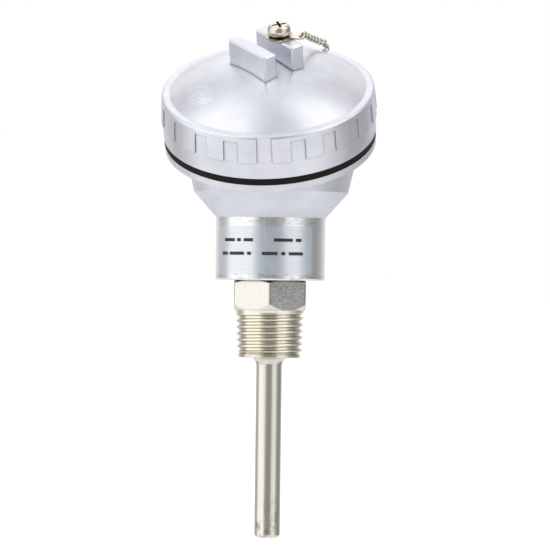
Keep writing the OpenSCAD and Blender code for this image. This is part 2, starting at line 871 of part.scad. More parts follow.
module terminal_strips() {
    color("goldenrod") for (turn = strip_turns) rotate([0, 0, turn]) difference() {
        translate([strip_at - strip_len / 2, -strip_w / 2, block_top_z])
            cube([strip_len, strip_w, strip_t]);
        for (side = [-1, 1])
            translate([strip_at + side * strip_screw_gap / 2, 0, block_top_z - past])
                cylinder(r = terminal_screw_d / 2 + run_gap, h = strip_t + 2 * past);
    }
}

module terminal_screws() {
    color("lightgray") terminal_places() translate([0, 0, strip_t])
        slot_screw(
            terminal_screw_d / 2, terminal_head_d / 2, terminal_head_h,
            terminal_bite + strip_t, 30
        );
}

module block_screws() {
    color("lightgray") for (turn = block_screw_turns) rotate([0, 0, turn])
        translate([block_screw_at, 0, block_top_z])
            slot_screw(screw_r, block_head_r, block_head_h, block_t + block_screw_bite, 60);
}

// ---------------------------------------------------------------- sensor

// A closed tube swept along points that lie in the plane y = 0
module flat_wire(points, radius, sides) {
    last = len(points) - 1;
    function ahead(i) = unit(points[min(i + 1, last)] - points[max(i - 1, 0)]);
    rings = [
        for (i = [0:last]) for (k = [0:sides - 1])
            let (a = 360 * k / sides, across = cross([0, 1, 0], ahead(i)))
            points[i] + radius * (cos(a) * across + sin(a) * [0, 1, 0])
    ];
    walls = [
        for (i = [0:last - 1]) for (k = [0:sides - 1])
            let (next = (k + 1) % sides)
            [i * sides + k, (i + 1) * sides + k, (i + 1) * sides + next, i * sides + next]
    ];
    foot = [for (k = [0:sides - 1]) k];
    head = [for (k = [sides - 1:-1:0]) last * sides + k];
    polyhedron(rings, concat([foot], walls, [head]), convexity = 4);
}

// One lead: up the tube, through the block and out to its strip
module lead(turn) {
    bend_r = strip_at - strip_screw_gap / 2 - terminal_head_d / 2 - lead_at - seat_gap;
    out_z = strip_top_z + lead_d / 2 + skin;
    points = concat(
        [[lead_at, 0, element_top_z + seat_gap], [lead_at, 0, out_z - bend_r - past]],
        [for (a = [0:15:90]) [
            lead_at + bend_r * (1 - cos(a)), 0, out_z - bend_r * (1 - sin(a))
        ]]
    );
    rotate([0, 0, turn]) flat_wire(points, lead_d / 2, 8);
}

module lead_white() {
    color("white") lead(strip_turns[0]);
}

module lead_red_1() {
    color("firebrick") lead(strip_turns[1]);
}

module lead_red_2() {
    color("firebrick") lead(strip_turns[2]);
}

// Ceramic beads that keep the leads apart inside the tube
module insulator_beads() {
    color("ivory") for (i = [0:bead_count - 1])
        translate([0, 0, element_top_z + seat_gap + i * bead_pitch]) difference() {
            cylinder(r = bead_r, h = bead_len);
            for (turn = strip_turns) rotate([0, 0, turn])
                translate([lead_at, 0, -past])
                    cylinder(r = lead_bore_r, h = bead_len + 2 * past, $fn = slender);
        }
}

module rtd_element() {
    color("white") translate([0, 0, element_z]) cylinder(d = element_d, h = element_len);
}

// The closed tube that holds the sensor: its shoulder stands under the nose's end
module sensing_tube() {
    color("#c9c7c2") difference() {
        translate([0, 0, -probe_len]) rotate_extrude() polygon(concat(
            [[0, 0]],
            [for (a = [0:15:90]) [
                tube_r - tip_round * (1 - sin(a)),
                tip_round * (1 - cos(a))
            ]],
            [
                [tube_r, probe_len + nose_z - skin],
                [tube_seat_r, probe_len + nose_z - skin],
                [tube_seat_r, probe_len + tube_top_z],
                [0, probe_len + tube_top_z]
            ]
        ));
        translate([0, 0, -probe_len + tip_floor])
            cylinder(r = tube_bore_r, h = probe_len + tube_top_z + past);
    }
}

// Thickness of the nose's end round the tube
nose_lip = 0.15;

// The weld nose: its side is hollow and runs out along the tube
module nose() {
    foot_r = nipple_bore_r + nose_lip;
    top = nose_len + skin;
    rotate_extrude() polygon(concat(
        [[0, nose_z], [foot_r, nose_z]],
        [for (a = [75:-15:0]) [
            nose_d / 2 - (nose_d / 2 - foot_r) * sin(a),
            nose_z + top * cos(a)
        ]],
        [[0, nose_z + top]]
    ));
}

// The hexagon nipple: stub, hexagon, tapered thread, collar and weld nose
module process_fitting() {
    color("#d6d2c8") difference() {
        union() {
            cylinder(d = stub_d, h = stub_top_z);
            rotate([0, 0, hex_turn - 90])
                hexagon(hex_af, hex_h, hex_chamfer, hex_foot_slope, hex_top_slope);
            translate([0, 0, -thread_len])
                cylinder(d1 = thread_end_d, d2 = thread_d, h = thread_len + skin);
            translate([0, 0, -thread_len - collar_len])
                cylinder(d = collar_d, h = collar_len + skin);
            nose();
        }
        translate([0, 0, nose_z - past])
            cylinder(r = nipple_bore_r, h = stub_top_z - nose_z + 2 * past);
    }
}

// The clear film wrapped round the neck
module neck_label() {
    color("#eef2f8") translate([0, 0, neck_z + (neck_len - label_h) / 2 - label_drop])
        sector(
            neck_r + run_gap + label_t, neck_r + run_gap, label_h,
            label_turn - 90 - label_span / 2, label_span
        );
}

housing();
cap();
cap_seal();
cap_screw();
cap_eyelet();
chain();
anchor_eyelet();
anchor_screw();
gland_nut();
gland_washer();
gland_grommet();
terminal_block();
terminal_strips();
terminal_screws();
block_screws();
lead_white();
lead_red_1();
lead_red_2();
insulator_beads();
rtd_element();
sensing_tube();
process_fitting();
neck_label();
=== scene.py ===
import math

import bmesh
import bpy
from mathutils import Matrix, Vector


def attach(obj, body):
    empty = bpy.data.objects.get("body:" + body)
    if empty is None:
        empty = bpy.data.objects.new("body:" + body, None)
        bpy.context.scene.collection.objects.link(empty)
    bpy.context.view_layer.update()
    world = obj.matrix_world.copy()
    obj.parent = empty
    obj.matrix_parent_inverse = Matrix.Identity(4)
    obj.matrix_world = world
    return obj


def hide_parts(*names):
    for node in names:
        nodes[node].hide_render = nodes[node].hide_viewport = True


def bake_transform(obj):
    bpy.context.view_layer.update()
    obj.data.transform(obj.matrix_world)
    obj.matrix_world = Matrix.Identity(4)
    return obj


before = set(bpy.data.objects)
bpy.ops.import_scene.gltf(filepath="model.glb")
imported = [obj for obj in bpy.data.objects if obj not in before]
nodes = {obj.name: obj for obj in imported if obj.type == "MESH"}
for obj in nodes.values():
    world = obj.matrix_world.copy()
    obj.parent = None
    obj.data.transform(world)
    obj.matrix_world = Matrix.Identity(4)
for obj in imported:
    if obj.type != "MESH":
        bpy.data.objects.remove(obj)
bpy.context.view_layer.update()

MM = 0.001

# ---------------------------------------------------------------- camera

# Turn to the right of the front, and roll, in degrees
VIEW_TURN, VIEW_ROLL = 6.0, 0.7
# Distance and size of a pixel at the probe's axis, in millimetres
VIEW_DISTANCE, PIXEL = 900.0, 0.308
# Side of the square image in pixels, and the sensor's width
IMAGE_SIDE, SENSOR = 550, 36.0
# Point on the axis that the camera is set by, and the pixel on which it falls
AIM, AIM_PIXEL = Vector((0, 0, 18.5)), (270.5, 250)


def make_camera():
    """Level view from the right of the front, with a slight roll."""
    turn, roll = math.radians(VIEW_TURN), math.radians(VIEW_ROLL)
    forward = Vector((-math.sin(turn), math.cos(turn), 0))
    right = Vector((math.cos(turn), math.sin(turn), 0))
    up = Vector((0, 0, 1))
    across = math.cos(roll) * right + math.sin(roll) * up
    upward = -math.sin(roll) * right + math.cos(roll) * up
    aside = (AIM_PIXEL[0] - IMAGE_SIDE / 2) * PIXEL
    above = (IMAGE_SIDE / 2 - AIM_PIXEL[1]) * PIXEL
    place = AIM - across * aside - upward * above - forward * VIEW_DISTANCE
    data = bpy.data.cameras.new("camera")
    data.sensor_width = SENSOR
    data.lens = SENSOR * VIEW_DISTANCE / (IMAGE_SIDE * PIXEL)
    data.clip_end = 50
    camera = bpy.data.objects.new("camera", data)
    basis = Matrix((across, upward, -forward)).transposed().to_4x4()
    camera.matrix_world = Matrix.Translation(place * MM) @ basis
    bpy.context.scene.collection.objects.link(camera)
    bpy.context.scene.camera = camera


make_camera()


# ---------------------------------------------------------------- materials

# Colours of the casting and of its turned neck, each from dark to light
CAST_LOW, CAST_HIGH = (0.74, 0.75, 0.81), (0.84, 0.85, 0.91)
NECK_LOW, NECK_HIGH = (0.85, 0.86, 0.88), (0.95, 0.96, 0.98)
# Heights of the turned neck's ends, and how far the handling marks reach from each, in metres
NECK_FOOT, NECK_TOP, FOOT_MARKS, TOP_MARKS = 0.0092, 0.0284, 0.002, 0.0022
# Half the mould line's width and the height at which it ends, in metres
SEAM_HALF, SEAM_TOP = 0.00016, 0.0362
# Middle and reach of the flow marks on the cap, in metres, and how their width is squeezed
FLOW_X, FLOW_Z, FLOW_REACH, FLOW_SQUEEZE = -0.0202, 0.0646, 0.0034, 0.6
# Heights between which the heat stains near the tip fade out, in metres
STAINS_FULL, STAINS_END = -0.067, -0.055
# Radius of the thread's crests at the hexagon, its depth and its length, in millimetres
THREAD_R, THREAD_DEPTH, THREAD_LEN = 10.6, 0.95, 13.3
# Length of thread over which the crests' radius falls by one unit
TAPER = 32.0
# Turn of the hexagon's front corner, in degrees
HEX_TURN = 6
# Radius of the hole in the fitting, which the tube passes, in millimetres
TUBE_HOLE = 4.01


def new_material(name):
    """A material with its node tree and its shader."""
    material = bpy.data.materials.new(name)
    material.use_nodes = True
    tree = material.node_tree
    return material, tree, tree.nodes["Principled BSDF"]


def add(tree, kind, **values):
    """Adds a node; a name with an underscore before it sets an input, any other a property."""
    node = tree.nodes.new(kind)
    for key, value in values.items():
        if key.startswith("_"):
            node.inputs[key[1:]].default_value = value
        else:
            setattr(node, key, value)
    return node


def ramp(tree, fac, *stops):
    """Colour along a value; each stop is a place and a colour, or a place and a grey."""
    node = tree.nodes.new("ShaderNodeValToRGB")
    while len(node.color_ramp.elements) < len(stops):
        node.color_ramp.elements.new(0.5)
    for element, (place, colour) in zip(node.color_ramp.elements, stops):
        element.position = place
        element.color = (*(colour if isinstance(colour, tuple) else (colour,) * 3), 1)
    tree.links.new(fac, node.inputs["Fac"])
    return node.outputs["Color"]


def noise(tree, vector, scale, detail=3.0, roughness=0.5):
    """A Noise texture's value."""
    node = add(tree, "ShaderNodeTexNoise", _Scale=scale, _Detail=detail, _Roughness=roughness)
    tree.links.new(vector, node.inputs["Vector"])
    return node.outputs["Fac"]


def coords(tree, scale=(1, 1, 1)):
    """Object coordinates, which are the frame's own, stretched along the axes."""
    mapping = add(tree, "ShaderNodeMapping", _Scale=scale)
    tree.links.new(add(tree, "ShaderNodeTexCoord").outputs["Object"], mapping.inputs["Vector"])
    return mapping.outputs["Vector"]


def axes(tree, vector):
    """The X, Y and Z of a vector."""
    parts = add(tree, "ShaderNodeSeparateXYZ")
    tree.links.new(vector, parts.inputs["Vector"])
    return [parts.outputs[axis] for axis in "XYZ"]


def bump_chain(tree, shader, heights, edge=0.0):
    """Stacks bump nodes: heights is a list of (socket, distance, strength)."""
    last = None
    if edge:
        bevel = add(tree, "ShaderNodeBevel", samples=4, _Radius=edge)
        last = bevel.outputs["Normal"]
    for socket, distance, strength in heights:
        bump = add(tree, "ShaderNodeBump", _Distance=distance, _Strength=strength)
        tree.links.new(socket, bump.inputs["Height"])
        if last:
            tree.links.new(last, bump.inputs["Normal"])
        last = bump.outputs["Normal"]
    if last:
        tree.links.new(last, shader.inputs["Normal"])


def rise(tree, value, low, high):
    """0 below one value and 1 above the other, with a smooth change between."""
    level = add(tree, "ShaderNodeMapRange", interpolation_type="SMOOTHSTEP")
    level.inputs["From Min"].default_value = low
    level.inputs["From Max"].default_value = high
    tree.links.new(value, level.inputs["Value"])
    return level.outputs["Result"]


def blend_values(tree, fac, first, second, kind="MIX"):
    """Mixes two colours, each a socket or a value, by a share."""
    node = add(tree, "ShaderNodeMix", data_type="RGBA", blend_type=kind)
    find = {socket.identifier: socket for socket in [*node.inputs, *node.outputs]}
    for value, name in ((fac, "Factor_Float"), (first, "A_Color"), (second, "B_Color")):
        if isinstance(value, bpy.types.NodeSocket):
            tree.links.new(value, find[name])
        else:
            find[name].default_value = value
    return find["Result_Color"]


def calc(tree, operation, *values):
    """A Math node over numbers and sockets."""
    node = add(tree, "ShaderNodeMath", operation=operation)
    for i, value in enumerate(values):
        if isinstance(value, bpy.types.NodeSocket):
            tree.links.new(value, node.inputs[i])
        else:
            node.inputs[i].default_value = value
    return node.outputs[0]


def length_of(tree, first, second):
    """Length of the vector with these two sides."""
    squares = [calc(tree, "MULTIPLY", side, side) for side in (first, second)]
    return calc(tree, "SQRT", calc(tree, "ADD", *squares))


def paint_corner_shade(tree, colour, reach=0.001, dark=0.36):
    """Paints shade into a colour in the corners where two faces meet, from ambient occlusion."""
    corner = add(tree, "ShaderNodeAmbientOcclusion", samples=8, _Distance=reach)
    shade = ramp(tree, corner.outputs["AO"], (0.5, dark), (0.93, 1.0))
    return blend_values(tree, 1.0, colour, shade, "MULTIPLY")


def cast_parts(tree, rough):
    """Grain, cloud, colour and roughness of the silver-painted die casting."""
    vector = coords(tree)
    fine = noise(tree, vector, 2600, 2.0, 0.6)
    broad = noise(tree, vector, 130, 4.0, 0.55)
    colour = ramp(tree, broad, (0.3, CAST_LOW), (0.7, CAST_HIGH))
    return fine, broad, colour, ramp(tree, fine, (0.3, rough[0]), (0.7, rough[1]))


def cap_metal():
    """The cap's casting: fine orange peel, soft edges, a patch of flow marks and painted shade in its
    corners.
    """
    material, tree, shader = new_material("cast_cap")
    fine, broad, colour, roughness = cast_parts(tree, (0.30, 0.42))
    x, _, z = axes(tree, coords(tree))
    aside = calc(tree, "MULTIPLY", calc(tree, "SUBTRACT", x, FLOW_X), FLOW_SQUEEZE)
    away = length_of(tree, aside, calc(tree, "SUBTRACT", z, FLOW_Z))
    patch = calc(tree, "SUBTRACT", 1.0, calc(tree, "DIVIDE", away, FLOW_REACH))
    flow = noise(tree, coords(tree, (500, 900, 1500)), 1.0, 2.0)
    marks = calc(tree, "MULTIPLY", flow, calc(tree, "MAXIMUM", patch, 0.0))
    # Painted shade: the base colour darkens in the corners, from ambient occlusion
    tree.links.new(paint_corner_shade(tree, colour), shader.inputs["Base Color"])
    tree.links.new(roughness, shader.inputs["Roughness"])
    shader.inputs["Metallic"].default_value = 0.85
    bump_chain(tree, shader, [
        (broad, 0.00008, 0.35),
        (fine, 0.00002, 0.35),
        (marks, 0.0009, 0.8),
    ], 0.0002)
    return material


def housing_metal():
    """The casting, with a turned and brushed neck and a faint mould line down its front; painted shade
    darkens the casting's corners.
    """
    material, tree, shader = new_material("cast_housing")
    fine, broad, colour, roughness = cast_parts(tree, (0.48, 0.6))
    x, y, z = axes(tree, coords(tree))
    above = rise(tree, z, NECK_TOP - 0.0002, NECK_TOP + 0.0002)
    rings = noise(tree, coords(tree, (60, 60, 5200)), 1.0, 3.0, 0.6)
    turned = ramp(tree, rings, (0.3, NECK_LOW), (0.7, NECK_HIGH))
    turned_rough = ramp(tree, rings, (0.3, 0.28), (0.7, 0.18))
    # Handling marks near the turned neck's two edges
    smudge = noise(tree, coords(tree, (420, 420, 800)), 1.0, 4.0, 0.65)
    near_top = calc(tree, "GREATER_THAN", z, NECK_TOP - TOP_MARKS)
    near_foot = calc(tree, "LESS_THAN", z, NECK_FOOT + FOOT_MARKS)
    worn = calc(tree, "MULTIPLY", ramp(tree, smudge, (0.48, 0.0), (0.62, 1.0)),
                calc(tree, "ADD", near_top, near_foot))
    neck = blend_values(tree, calc(tree, "MULTIPLY", worn, 0.5), turned, (0.50, 0.50, 0.49, 1))
    # Painted shade: the casting's colour darkens in its corners, from ambient occlusion
    tree.links.new(blend_values(tree, above, neck, paint_corner_shade(tree, colour)), shader.inputs["Base Color"])
    tree.links.new(blend_values(tree, above, turned_rough, roughness), shader.inputs["Roughness"])
    shader.inputs["Metallic"].default_value = 0.95
    # A narrow ridge where the mould's halves met, on the front only, up to the cone's top
    ridge = calc(tree, "SUBTRACT", 1.0, calc(tree, "DIVIDE", calc(tree, "ABSOLUTE", x), SEAM_HALF))
    front = calc(tree, "LESS_THAN", y, 0.0)
    under = calc(tree, "LESS_THAN", z, SEAM_TOP)
    ridge = calc(tree, "MULTIPLY", calc(tree, "MAXIMUM", ridge, 0.0), calc(tree, "MULTIPLY", front, under))
    peel = calc(tree, "MULTIPLY", fine, above)
    ringing = calc(tree, "MULTIPLY", rings, calc(tree, "SUBTRACT", 1.0, above))
    bump_chain(tree, shader, [
        (broad, 0.00006, 0.3),
        (peel, 0.00002, 0.35),
        (ringing, 0.000006, 0.3),
        (ridge, 0.00003, 0.6),
    ], 0.0002)
    return material


def turned_metal(name, low, high, streak=(900, 900, 14)):
    """Turned metal with fine streaks; they run along the axis with the smallest scale."""
    material, tree, shader = new_material(name)
    streaks = noise(tree, coords(tree, streak), 1.0, 4.0, 0.6)
    grain = noise(tree, coords(tree), 1800, 2.0)
    tree.links.new(ramp(tree, streaks, (0.3, low), (0.68, high)), shader.inputs["Base Color"])
    tree.links.new(ramp(tree, streaks, (0.3, 0.32), (0.7, 0.18)), shader.inputs["Roughness"])
    shader.inputs["Metallic"].default_value = 1.0
    bump_chain(tree, shader, [(streaks, 0.00002, 0.25), (grain, 0.000006, 0.2)], 0.00015)
    return material


def tube_metal():
    """Drawn steel tube: fine lengthwise streaks and brown heat stains near the tip."""
    material, tree, shader = new_material("steel_tube")
    streaks = noise(tree, coords(tree, (1500, 1500, 10)), 1.0, 4.0, 0.6)
    stains = noise(tree, coords(tree, (420, 420, 150)), 1.0, 4.0, 0.7)
    base = ramp(tree, streaks, (0.3, (0.70, 0.68, 0.61)), (0.7, (0.86, 0.84, 0.77)))
    beyond = rise(tree, axes(tree, coords(tree))[2], STAINS_FULL, STAINS_END)
    stained = calc(tree, "MULTIPLY", ramp(tree, stains, (0.53, 0.0), (0.62, 1.0)),
                   calc(tree, "SUBTRACT", 1.0, beyond))
    stained = calc(tree, "MULTIPLY", stained, 0.7)
    tree.links.new(blend_values(tree, stained, base, (0.30, 0.21, 0.13, 1)), shader.inputs["Base Color"])
    tree.links.new(ramp(tree, streaks, (0.3, 0.24), (0.7, 0.14)), shader.inputs["Roughness"])
    shader.inputs["Metallic"].default_value = 1.0
    bump_chain(tree, shader, [(streaks, 0.00001, 0.2)], 0.00015)
    return material


def thread_metal():
    """Turned thread: bright crests, flanks darkened towards the valleys as painted shade, plain below it.
    """
    material, tree, shader = new_material("thread_steel")
    vector = coords(tree)
    x, y, z = axes(tree, vector)
    # Share of the thread's depth below its tapered crests
    crest = calc(tree, "ADD", THREAD_R * MM, calc(tree, "DIVIDE", z, TAPER))
    depth = calc(tree, "DIVIDE", calc(tree, "SUBTRACT", crest, length_of(tree, x, y)), THREAD_DEPTH * MM)
    # Painted shade: the colour darkens down the flanks towards the valleys
    shade = ramp(tree, depth, (0.0, (0.96, 0.93, 0.85)), (0.12, (0.94, 0.91, 0.82)),
                 (0.24, (0.66, 0.63, 0.55)), (0.76, (0.56, 0.53, 0.46)), (0.93, (0.84, 0.81, 0.72)))
    wear = noise(tree, coords(tree, (300, 300, 900)), 1.0, 3.0, 0.6)
    tinted = blend_values(tree, calc(tree, "MULTIPLY", wear, 0.35), shade, (0.78, 0.70, 0.48, 1))
    above = rise(tree, z, -(THREAD_LEN + 0.2) * MM, -THREAD_LEN * MM)
    nose = noise(tree, vector, 900, 3.0, 0.6)
    plain_tone = ramp(tree, nose, (0.3, (0.66, 0.63, 0.56)), (0.7, (0.84, 0.81, 0.73)))
    tree.links.new(blend_values(tree, above, plain_tone, tinted), shader.inputs["Base Color"])
    tree.links.new(ramp(tree, wear, (0.3, 0.16), (0.7, 0.10)), shader.inputs["Roughness"])
    shader.inputs["Metallic"].default_value = 1.0
    bump_chain(tree, shader, [(wear, 0.000012, 0.3)], 0.0001)
    return material


def flat_metal():
    """The hexagon: bright chamfers and sawn flats with a coarse, matte grain; painted shade on every other
    flat and in the corners.
    """
    material, tree, shader = new_material("hexagon_steel")
    vector = coords(tree)
    grain = noise(tree, vector, 2400, 3.0, 0.75)
    cloud = noise(tree, vector, 260)
    smooth = ramp(tree, grain, (0.32, (0.76, 0.75, 0.67)), (0.68, (0.88, 0.86, 0.78)))
    shaded_tone = ramp(tree, grain, (0.34, (0.20, 0.20, 0.20)), (0.66, (0.60, 0.60, 0.59)))
    fine_rough = ramp(tree, cloud, (0.3, 0.26), (0.7, 0.20))
    coarse_rough = ramp(tree, cloud, (0.3, 0.48), (0.7, 0.38))
    # Every other flat gets painted shade, a dark tone, and a coarser roughness
    x, y, _ = axes(tree, vector)
    facing = axes(tree, add(tree, "ShaderNodeTexCoord").outputs["Normal"])[2]
    turn = calc(tree, "SUBTRACT", calc(tree, "ARCTAN2", y, x), math.radians(HEX_TURN - 90))
    every_other_flat = calc(tree, "GREATER_THAN", calc(tree, "SINE", calc(tree, "MULTIPLY", turn, 3.0)), 0.0)
    upright = calc(tree, "LESS_THAN", calc(tree, "ABSOLUTE", facing), 0.3)
    shaded_flat = calc(tree, "MULTIPLY", every_other_flat, upright)
    tone = blend_values(tree, shaded_flat, smooth, shaded_tone)
    # Painted shade also darkens the corners, such as the top chamfer under the housing
    tree.links.new(paint_corner_shade(tree, tone), shader.inputs["Base Color"])
    tree.links.new(blend_values(tree, shaded_flat, fine_rough, coarse_rough), shader.inputs["Roughness"])
    shader.inputs["Metallic"].default_value = 1.0
    bump_chain(tree, shader, [(grain, 0.00002, 0.3)], 0.0008)
    return material


def film():
    """The label: a thin, slightly milky blue film that the neck shows through."""
    material, tree, shader = new_material("label_film")
    cloud = noise(tree, coords(tree), 240)
    tree.links.new(ramp(tree, cloud, (0.3, (0.68, 0.84, 1.0)), (0.7, (0.78, 0.92, 1.0))),
                   shader.inputs["Base Color"])
    tree.links.new(ramp(tree, cloud, (0.3, 0.10), (0.7, 0.16)), shader.inputs["Roughness"])
    shader.inputs["Alpha"].default_value = 0.2
    return material


def glue_side():
    """The label's inner face, which the film's clear glue makes invisible."""
    material, tree, shader = new_material("label_glue")
    cloud = noise(tree, coords(tree), 240)
    tree.links.new(ramp(tree, cloud, (0.3, 0.8), (0.7, 0.9)), shader.inputs["Base Color"])
    shader.inputs["Alpha"].default_value = 0.0
    return material


def plain(name, low, high, rough, metallic=0.0, scale=400, gloss=0.5, corner_shade=0.0):
    """Rubber, ceramic, plastic or small plated parts, with painted shade in the corners where asked."""
    material, tree, shader = new_material(name)
    cloud = noise(tree, coords(tree), scale, 4.0, 0.6)
    colour = ramp(tree, cloud, (0.3, low), (0.7, high))
    # Painted shade in the corners, from ambient occlusion
    if corner_shade:
        colour = paint_corner_shade(tree, colour, 0.0015, corner_shade)
    tree.links.new(colour, shader.inputs["Base Color"])
    tree.links.new(ramp(tree, cloud, (0.3, rough[0]), (0.7, rough[1])), shader.inputs["Roughness"])
    shader.inputs["Metallic"].default_value = metallic
    shader.inputs["Specular IOR Level"].default_value = gloss
    bump_chain(tree, shader, [(cloud, 0.00003, 0.4)], 0.0001)
    return material


def dress(node, material):
    """Gives the whole of a node one material."""
    obj = nodes[node]
    obj.data.materials.clear()
    obj.data.materials.append(material)
    for polygon in obj.data.polygons:
        polygon.material_index = 0


dress("cap", cap_metal())
dress("housing", housing_metal())
dress("cap_seal", plain("seal_rubber", 0.006, 0.012, (0.5, 0.65), gloss=0.15))
# The plated parts get painted shade in their corners
PLATED = plain("plated", (0.62, 0.57, 0.46), (0.86, 0.82, 0.71), (0.07, 0.16), 1.0, 900, corner_shade=0.5)
for part in ("cap_screw", "cap_eyelet", "anchor_eyelet", "anchor_screw", "chain"):
    dress(part, PLATED)
dress("gland_nut", turned_metal("gland_metal", 0.62, 0.72, (600, 12, 600)))
dress("gland_washer", turned_metal("washer_metal", 0.55, 0.7))
dress("gland_grommet", plain("grommet_rubber", 0.01, 0.02, (0.5, 0.7), gloss=0.2))
dress("terminal_block", plain("block_ceramic", (0.72, 0.69, 0.60), (0.82, 0.80, 0.72), (0.2, 0.35)))
dress("terminal_strips", plain("strip_brass", (0.60, 0.44, 0.17), (0.75, 0.58, 0.28), (0.2, 0.35), 1.0))
SCREW = plain("steel_screws", 0.5, 0.7, (0.2, 0.35), 1.0)
dress("terminal_screws", SCREW)
dress("block_screws", SCREW)
dress("lead_white", plain("lead_white", 0.75, 0.85, (0.4, 0.6)))
RED = plain("lead_red", (0.45, 0.02, 0.015), (0.6, 0.04, 0.03), (0.4, 0.6))
dress("lead_red_1", RED)
dress("lead_red_2", RED)
BEAD = plain("bead_ceramic", (0.75, 0.70, 0.58), (0.85, 0.82, 0.72), (0.5, 0.7))
dress("insulator_beads", BEAD)
dress("rtd_element", BEAD)
dress("sensing_tube", tube_metal())
THREAD = thread_metal()
FLAT = flat_metal()
dress("process_fitting", FLAT)
dress("neck_label", film())
# Only the outer face shows as film
label_mesh = nodes["neck_label"].data
label_mesh.materials.append(glue_side())
for polygon in label_mesh.polygons:
    outward = polygon.normal.x * polygon.center.x + polygon.normal.y * polygon.center.y
    polygon.material_index = 0 if outward > 0.5 * polygon.center.xy.length else 1


# ---------------------------------------------------------------- pieces

def piece(name, mesh, body, material, smooth=35):
    """Adds a piece of the visual model that rides on a body, sharp above an angle in degrees."""
    obj = bpy.data.objects.new(name, mesh)
    bpy.context.scene.collection.objects.link(obj)
    obj.data.materials.clear()
    obj.data.materials.append(material)
    for polygon in mesh.polygons:
        polygon.use_smooth = True
    if smooth:
        mesh.set_sharp_from_angle(angle=math.radians(smooth))
    if body:
        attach(obj, body)
    return obj


def solid_mesh(name, verts, faces, weld=0.0):
    """A mesh from points in millimetres, with its faces turned outwards."""
    mesh = bpy.data.meshes.new(name)
    mesh.from_pydata([Vector(v) * MM for v in verts], [], faces)
    work = bmesh.new()
    work.from_mesh(mesh)
    if weld:
        bmesh.ops.remove_doubles(work, verts=work.verts, dist=weld)
        bmesh.ops.dissolve_degenerate(work, edges=work.edges, dist=weld)
    bmesh.ops.recalc_face_normals(work, faces=work.faces)
    work.to_mesh(mesh)
    work.free()
    return mesh


def limit(value, low, high):
    """The value, kept between two bounds."""
    return min(high, max(low, value))


def threaded_nipple():
    """Cone under the hexagon, tapered helical thread, collar and weld nose, bored for the tube."""
    length, pitch = THREAD_LEN, 1.96
    foot = THREAD_R - length / TAPER
    cone_top = THREAD_R + 0.15
    around, runout, fade_over = 144, 1.5, 0.7
    # Shares of one pitch and the height of the ridge at each
    ridge = [(0.0, 0.02), (0.08, 0.0), (0.18, 0.02), (0.23, 0.12), (0.30, 0.42), (0.36, 0.72),
             (0.41, 0.92), (0.48, 0.99), (0.54, 1.0), (0.60, 0.99), (0.67, 0.92), (0.72, 0.72),
             (0.78, 0.42), (0.85, 0.12), (0.90, 0.04)]
    # The collar's radius, and its lower edge, where the nose starts, and the nose's foot
    collar_r, collar_end, nose_top, nose_end = 9.6, -length - 1.0, -length - 1.42, -length - 3.3
    below = [(foot - THREAD_DEPTH, -length), (9.35, -length - 0.02), (collar_r, -length - 0.3),
             (collar_r, collar_end)]
    below += [(collar_r - 0.3 * (1 - math.cos(t)), collar_end - 0.3 * math.sin(t))
              for t in (0.4, 0.8, 1.2, 1.57)]
    below += [(7.6, -length - 1.34), (6.2, nose_top)]
    below += [(6.0 - 1.85 * math.sin(t), nose_end + 1.9 * math.cos(t))
              for t in (0.2, 0.45, 0.7, 0.95, 1.2)]
    below += [(4.12, nose_end), (TUBE_HOLE, nose_end)]
    turns = int(length / pitch) + 3
    verts, faces = [], []
    for i in range(around + 1):
        a = 2 * math.pi * (i % around) / around
        rows = []
        for k in range(-3, turns + 1):
            for share, height in ridge:
                z = limit(-length + pitch * (k + share + i / around), -length, 0.0)
                crest = foot + (THREAD_R - foot) * (z + length) / length
                # The ridge fades at the foot, and runs out into a plain cone at the top
                r = crest - THREAD_DEPTH * (1 - height * limit((z + length) / fade_over, 0.0, 1.0))
                cone = cone_top + 0.3 * z
                rows.append((r + (cone - r) * limit((z + runout) / fade_over, 0.0, 1.0), z))
        rows.sort(key=lambda p: -p[1])
        column = [(TUBE_HOLE, 0.3), (cone_top, 0.3)] + rows + below
        n = len(column)
        verts += [(r * math.cos(a), r * math.sin(a), z) for r, z in column]
    for i in range(around):
        for j in range(n):
            m = (j + 1) % n
            faces.append((i * n + j, i * n + m, (i + 1) * n + m, (i + 1) * n + j))
    return solid_mesh("nipple_thread", verts, faces, 2e-7)


def hexagon_block():
    """The hexagon with its turned chamfers, and the stub above it."""
    half, height, chamfer = 11.0, 9.2, 1.6
    corner, blunt = half / math.cos(math.radians(30)), 0.12
    foot_tan, top_tan = math.tan(math.radians(50)), math.tan(math.radians(30))
    stub_r, stub_top = 9.99, 22.1
    around, steps = 240, 10
    verts, faces = [], []
    for i in range(around):
        a = 2 * math.pi * i / around
        off = (math.degrees(a) - (HEX_TURN - 90)) % 60
        flat = half / math.cos(math.radians(off - 30))
        reach = min(corner - blunt, flat)
        column = [(TUBE_HOLE, 0.0)]
        for k in range(steps + 1):
            z = chamfer * foot_tan * k / steps
            column.append((min(reach, corner - chamfer + z / foot_tan), z))
        for k in range(steps + 1):
            z = height - chamfer * top_tan * (1 - k / steps)
            column.append((min(reach, corner - chamfer + (height - z) / top_tan), z))
        column += [(stub_r, height), (stub_r, stub_top), (TUBE_HOLE, stub_top)]
        verts += [(r * math.cos(a), r * math.sin(a), z) for r, z in column]
        n = len(column)
    for i in range(around):
        k = (i + 1) % around
        for j in range(n):
            m = (j + 1) % n
            faces.append((i * n + j, k * n + j, k * n + m, i * n + m))
    return solid_mesh("nipple_hexagon", verts, faces)


